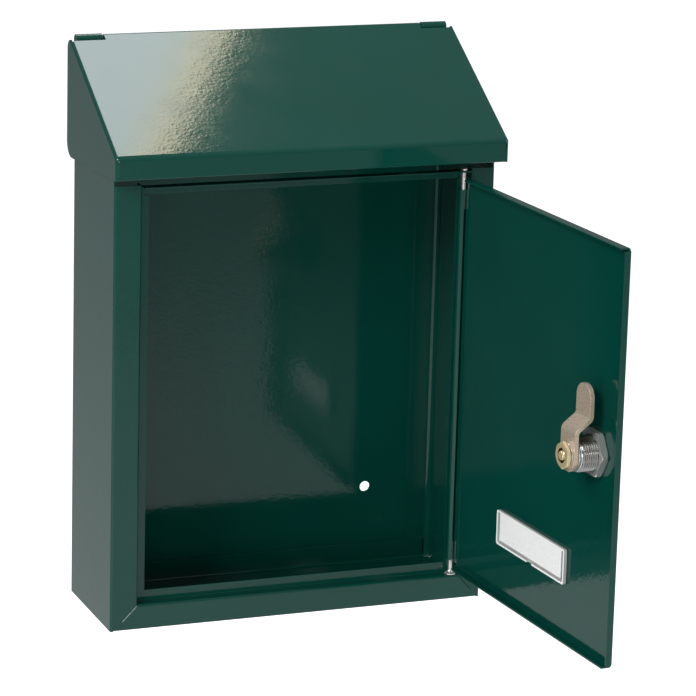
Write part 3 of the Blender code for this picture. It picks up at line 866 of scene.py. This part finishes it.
head_back = face_out - GAP
head_front = head_back - HEAD_DEPTH
bore = PLUG + 0.07
head_profile = [
    (0, head_front + 0.2),
    (HEAD_RADIUS - 1.8, head_front),
    (HEAD_RADIUS - 1.0, head_front + 0.15),
    (HEAD_RADIUS - 0.4, head_front + 0.6),
    (HEAD_RADIUS, head_front + 1.4),
    (HEAD_RADIUS, head_back),
    (BARREL - 0.6, head_back),
    (BARREL - 0.6, face_in + 0.2),
    (0, face_in + 0.2),
]
housing = lay(turned("housing", head_profile, 96), LAY_OVER)
fuse(housing, threaded("barrel", BARREL, face_in - 0.3, BARREL_END, 1.25, 0.9, BARREL_FLATS))
bore_rod = prism("bore", circle((0, 0), bore, 64), "y", head_front - 2, BARREL_END + 2, lock_point)
cut(housing, bore_rod)
lock_piece(housing, "lock_housing", cast, "cast_lock", "door", edge=0, smooth=50)
housing.data.materials.append(thread_steel)
for face in housing.data.polygons:
    threaded_part = face_in * MM < face.center.y < (BARREL_END - 0.4) * MM
    if threaded_part and face.center.xz.length > (bore + 1.0) * MM:
        face.material_index = 1

washer_start = BARREL_END + GAP
washer_end = washer_start + 0.9
cam_start = washer_end + GAP
cam_end = cam_start + CAM_SHEET
star_start = cam_end + GAP
star_end = star_start + 0.5
nut_start = star_end + GAP
nut_end = nut_start + 2.8
plug_profile = [
    (0, head_front + 0.3),
    (PLUG - 0.4, head_front + 0.3),
    (PLUG, head_front + 0.7),
    (PLUG, BARREL_END - 0.2),
    (0, BARREL_END - 0.2),
]
plug = lay(turned("plug", plug_profile, 64), LAY_OVER)
side = SHANK / 2
shank = box("shank", (-side, BARREL_END - 2, -side), (side, star_start - 0.15, side), lock_point)
stud = threaded("stud", 2.6, cam_start, nut_end, 0.8, 0.35, turns=48)
key_slot = box("key_slot", (-0.8, head_front - 1, -3.6), (0.8, head_front + 9, 3.6), lock_point)
fuse(plug, shank, stud)
cut(plug, key_slot)
lock_piece(plug, "lock_plug", brass, "cast_lock", edge=0, smooth=30)


def chamfered_nut(name, flats, turn, hole, low, high, chamfer):
    """A hexagon nut with its corners turned down at both faces."""
    nut = prism(name, hexagon((0, 0), flats, turn), "y", low, high, lock_point)
    reach = flats / 2 / math.cos(math.pi / 6)
    profile = [
        (0, low),
        (reach - chamfer, low),
        (reach + 0.05, low + chamfer * 0.55),
        (reach + 0.05, high - chamfer * 0.55),
        (reach - chamfer, high),
        (0, high),
    ]
    combine(nut, lay(turned("shape", profile, 96), LAY_OVER), "INTERSECT")
    return cut(nut, prism("hole", circle((0, 0), hole, 64), "y", low - 1, high + 1, lock_point))


nut_low = face_in + GAP
nut_high = nut_low + LOCK_NUT_DEPTH
big_nut = chamfered_nut("nut", LOCK_NUT_FLATS, 0, BARREL + 0.25, nut_low, nut_high, 1.2)
lock_piece(big_nut, "lock_nut", cast, "cast_lock", "door", edge=0.12, smooth=28)

fit = side + 0.3
square = [(-fit, -fit), (fit, -fit), (fit, fit), (-fit, fit)]
washer = prism("washer", circle((0, 0), 8.4, 64), "y", washer_start, washer_end, lock_point)
cut(washer, prism("hole", square, "y", washer_start - 1, washer_end + 1, lock_point))
lock_piece(washer, "cam_stop_washer", steel, "bright_steel", edge=0.15)

cam_mid = (cam_start + cam_end) / 2
cam_path = rounded(
    [
        (cam_mid, -8.5),
        (cam_mid, 13.5),
        (cam_mid - CAM_CRANK, 19.5),
        (cam_mid - CAM_CRANK, CAM_REACH),
    ],
    [0, 3.2, 3.2, 0],
    14,
)
half_cam = CAM_WIDTH / 2
cam = folded("cam", cam_path, "x", -half_cam, half_cam, CAM_SHEET, lock_point)
cam_outline = rounded(
    [(-half_cam, -8.5), (half_cam, -8.5), (half_cam, CAM_REACH), (-half_cam, CAM_REACH)],
    [6.5, 6.5, 7.2, 7.2],
    16,
    closed=True,
)
combine(cam, prism("blank", cam_outline, "y", -10, 30, lock_point), "INTERSECT")
cut(cam, prism("hole", square, "y", cam_start - 1, cam_end + 1, lock_point))
lock_piece(cam, "lock_cam", cam_steel, "cam_steel", edge=0.3, segments=3)

star = prism("star", circle((0, 0), 6.8, 64), "y", star_start, star_end, lock_point)
cut(star, prism("hole", circle((0, 0), 2.9, 32), "y", star_start - 1, star_end + 1, lock_point))
lock_piece(star, "cam_star_washer", steel, "bright_steel", edge=0.1)

small_nut = chamfered_nut("nut", CAM_NUT_FLATS, 30, 3.9, nut_start, nut_end - 0.6, 1.3)
lock_piece(small_nut, "cam_nut", brass, "brass", edge=0.1, smooth=28)
# Painted shade: the faces inside the cam nut's bore take the dark brass.
small_nut.data.materials.append(bore_shade_brass)
for face in small_nut.data.polygons:
    if face.center.xz.length < 4.0 * MM and abs(face.normal.y) < 0.5:
        face.material_index = 1

# ---------------------------------------------------------------- name plate


def plate_prism(name, length, height, radius, low, high):
    outline = rounded_box((PLATE_U, PLATE_Z), length, height, radius)
    return prism(name, outline, "y", low, high, door_point)


def door_piece(obj, node, look, slot, **how):
    return show(polish(obj, look, **how), node, "door", DOOR_PLACE)


rim = plate_prism("rim", 80, 22, 3, face_out - 1.8, face_out - GAP)
cut(rim, plate_prism("opening", 64, 10.5, 1, face_out - 4, face_out + 1))
door_piece(rim, "nameplate_frame", white, "white_plastic", edge=0.35, segments=3)
window = plate_prism("window", 69.4, 12.9, 1.2, face_out, face_out + 0.4)
door_piece(window, "nameplate_window", clear, "clear_plastic", edge=0.05)
card = plate_prism("card", 69.0, 12.5, 0.8, face_out + 0.7, face_out + 0.95)
door_piece(card, "name_card", paper, "card", edge=0)

back = face_in + GAP
holder = plate_prism("holder", PLATE_LENGTH, PLATE_HEIGHT, 1.3, back, back + 1.8)
channel = plate_prism("channel", PLATE_LENGTH - 2.6, PLATE_HEIGHT - 2.2, 0.6, back + 0.5, back + 3)
low_z = PLATE_Z - PLATE_HEIGHT / 2
reach = PLATE_LENGTH / 2 - 3.4
raised = box(
    "raised",
    (PLATE_U - reach, back, low_z + 2.7),
    (PLATE_U + reach, back + 1.5, low_z + PLATE_HEIGHT),
    door_point,
)
notch = box(
    "notch",
    (PLATE_U - 3.0, back + 0.4, low_z - 1),
    (PLATE_U + 3.0, back + 3, low_z + 1.8),
    door_point,
)
slot_cut = box(
    "slot",
    (PLATE_U - reach - 0.5, back - 1, low_z + 2.2),
    (PLATE_U + reach + 0.5, back + 3, low_z + PLATE_HEIGHT - 2.0),
    door_point,
)
tongue = box(
    "tongue",
    (PLATE_U - reach, back - 2, low_z + 2.7),
    (PLATE_U + reach, back + 4, low_z + PLATE_HEIGHT),
    door_point,
)
cut(holder, cut(channel, raised), cut(slot_cut, tongue), notch)
door_piece(holder, "nameplate_holder", white, "white_plastic", edge=0.22)
holder.data.materials.append(shaded_white)
for face in holder.data.polygons:
    along = abs(-face.center.x / MM - PLATE_U) < PLATE_LENGTH / 2 - 1.0
    across = abs(face.center.z / MM - PLATE_Z) < PLATE_HEIGHT / 2 - 0.8
    depth = face.center.y / MM - back
    if (along and across and depth < 1.7 and face.normal.y < 0.9) or depth < 0.9:
        face.material_index = 1

# ---------------------------------------------------------------- stage


def stage_look():
    """Pale floor that glows white behind the object. Matt grey in front and at the left."""
    look = Look("floor")
    parts = look.nodes.new("ShaderNodeSeparateXYZ")
    look.links.new(look.place, parts.inputs["Vector"])

    def fade(value, start, end):
        made = look.nodes.new("ShaderNodeMapRange")
        made.interpolation_type = "SMOOTHSTEP"
        made.inputs["From Min"].default_value = start
        made.inputs["From Max"].default_value = end
        look.links.new(value, made.inputs["Value"])
        return made.outputs["Result"]

    both = look.nodes.new("ShaderNodeMath")
    both.operation = "MULTIPLY"
    look.links.new(fade(parts.outputs["X"], -0.55, 0.1), both.inputs[0])
    look.links.new(fade(parts.outputs["Y"], 0.15, 0.75), both.inputs[1])
    glow = look.nodes.new("ShaderNodeMapRange")
    glow.inputs["To Min"].default_value = 0.05
    glow.inputs["To Max"].default_value = 0.75
    look.links.new(both.outputs["Value"], glow.inputs["Value"])
    tone = look.ramp(both.outputs["Value"], [(0.0, (0.62, 0.62, 0.62)), (1.0, (0.92, 0.92, 0.92))])
    look.set(Base_Color=tone, Roughness=0.9, Emission_Color=(1.0, 1.0, 1.0, 1.0))
    look.set(Emission_Strength=glow.outputs["Result"])
    return look.material


FLOOR_Z = -0.606
FLOOR_REACH = 12.0
floor_mesh = bpy.data.meshes.new("floor")
signs = ((-1, -1), (1, -1), (1, 1), (-1, 1))
corners = [(x * FLOOR_REACH, y * FLOOR_REACH, FLOOR_Z) for x, y in signs]
floor_mesh.from_pydata(corners, [], [(0, 1, 2, 3)])
floor_mesh.materials.append(stage_look())
floor = bpy.data.objects.new("floor", floor_mesh)
bpy.context.scene.collection.objects.link(floor)


def area_light(name, place, target, size, power, colour=(1, 1, 1), spin=0.0):
    data = bpy.data.lights.new(name, "AREA")
    data.shape = "RECTANGLE"
    data.size, data.size_y = size
    data.energy = power
    data.color = colour
    made = bpy.data.objects.new(name, data)
    bpy.context.scene.collection.objects.link(made)
    made.location = place
    made.rotation_mode = "QUATERNION"
    aim = (Vector(target) - Vector(place)).to_track_quat("-Z", "Y")
    made.rotation_quaternion = Matrix.Rotation(math.radians(spin), 3, "Z").to_quaternion() @ aim
    return made


area_light("key", (-2.2, -1.4, 1.65), (0, -0.05, 0), (1.6, 1.2), 62)
COOL = (0.93, 0.98, 1.0)
WARM = (1.0, 0.86, 0.62)
area_light("top", (0.064, 0.564, 1.69), (0.064, 0.563, 0.1), (0.75, 0.9), 15, COOL, -32)
area_light("warm", (0.391, 0.346, 1.69), (0.391, 0.345, 0.1), (0.036, 0.9), 0.8, WARM, -32)
area_light("right", (1.6, -1.2, 0.744), (0.05, -0.05, 0), (1.0, 1.0), 10)
area_light("front", (-0.5, -2.3, 0.10), (0, -0.05, 0), (1.4, 0.7), 12)



def studio(level, overhead):
    """A dim white room, brighter overhead than at eye level."""
    world = bpy.data.worlds.new("studio")
    bpy.context.scene.world = world
    world.use_nodes = True
    nodes, links = world.node_tree.nodes, world.node_tree.links
    parts = nodes.new("ShaderNodeSeparateXYZ")
    links.new(nodes.new("ShaderNodeTexCoord").outputs["Generated"], parts.inputs["Vector"])
    lift = nodes.new("ShaderNodeMapRange")
    lift.inputs["To Min"].default_value = level
    lift.inputs["To Max"].default_value = overhead
    links.new(parts.outputs["Z"], lift.inputs["Value"])
    nodes["Background"].inputs["Color"].default_value = (1, 1, 1, 1)
    links.new(lift.outputs["Result"], nodes["Background"].inputs["Strength"])


studio(0.15, 0.36)

YAW = math.radians(21.262)
PITCH = math.radians(14.589)
ROLL = math.radians(1.578)
TARGET = Vector((0.025069, -0.078, 0.148897 - ORIGIN_Z * MM))
DISTANCE = 1.906463
LENS = 182.725

forward = Vector((math.sin(YAW), math.cos(YAW), 0)) * math.cos(PITCH)
forward.z = -math.sin(PITCH)
level = Vector((math.cos(YAW), -math.sin(YAW), 0))
upright = level.cross(forward)
right = level * math.cos(ROLL) + upright * math.sin(ROLL)
up = upright * math.cos(ROLL) - level * math.sin(ROLL)
camera_data = bpy.data.cameras.new("camera")
camera_data.sensor_width = 36.0
camera_data.lens = LENS
camera = bpy.data.objects.new("camera", camera_data)
bpy.context.scene.collection.objects.link(camera)
turn = Matrix((right, up, -forward)).transposed().to_4x4()
camera.matrix_world = Matrix.Translation(TARGET - forward * DISTANCE) @ turn
bpy.context.scene.camera = camera
bpy.context.scene.view_settings.view_transform = "Standard"
